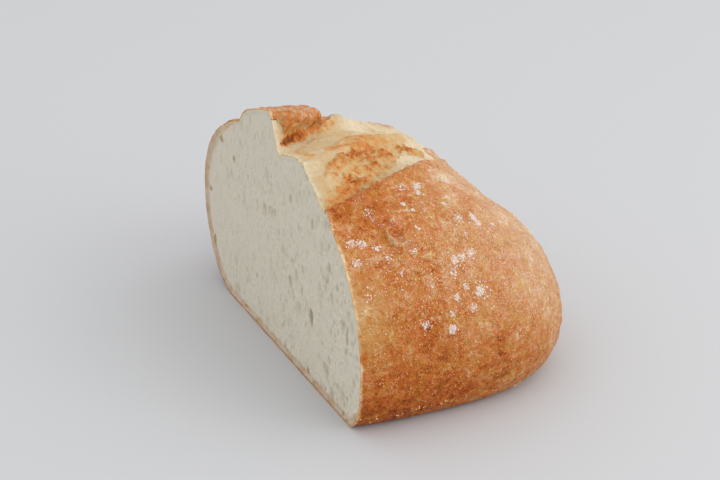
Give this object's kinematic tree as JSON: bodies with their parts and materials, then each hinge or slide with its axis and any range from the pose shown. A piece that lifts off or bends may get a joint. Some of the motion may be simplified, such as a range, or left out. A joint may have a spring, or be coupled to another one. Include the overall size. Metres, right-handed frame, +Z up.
{
  "type": "half bread roll",
  "caption": "Half of a large crusty white bread roll, cut straight across, with a torn score along its top, a lifted ear of crust and a flat base.",
  "frame": {"origin": "middle of the outline's box, on the flat base that the roll was baked on", "axes": "+X from the cut face towards the rounded end, +Y across the cut towards the side with the ear, +Z up"},
  "size_m": [0.0772, 0.125, 0.0731],
  "materials": {
    "crust": "baked golden-brown crust, satin, finely cracked, with flour; paler torn dough in the score",
    "crumb": "off-white open crumb of the cut face, matt",
    "flour": "dry flour and semolina, matt"
  },
  "bodies": {
    "root": {"half_roll": "crust"}
  },
  "joints": []
}
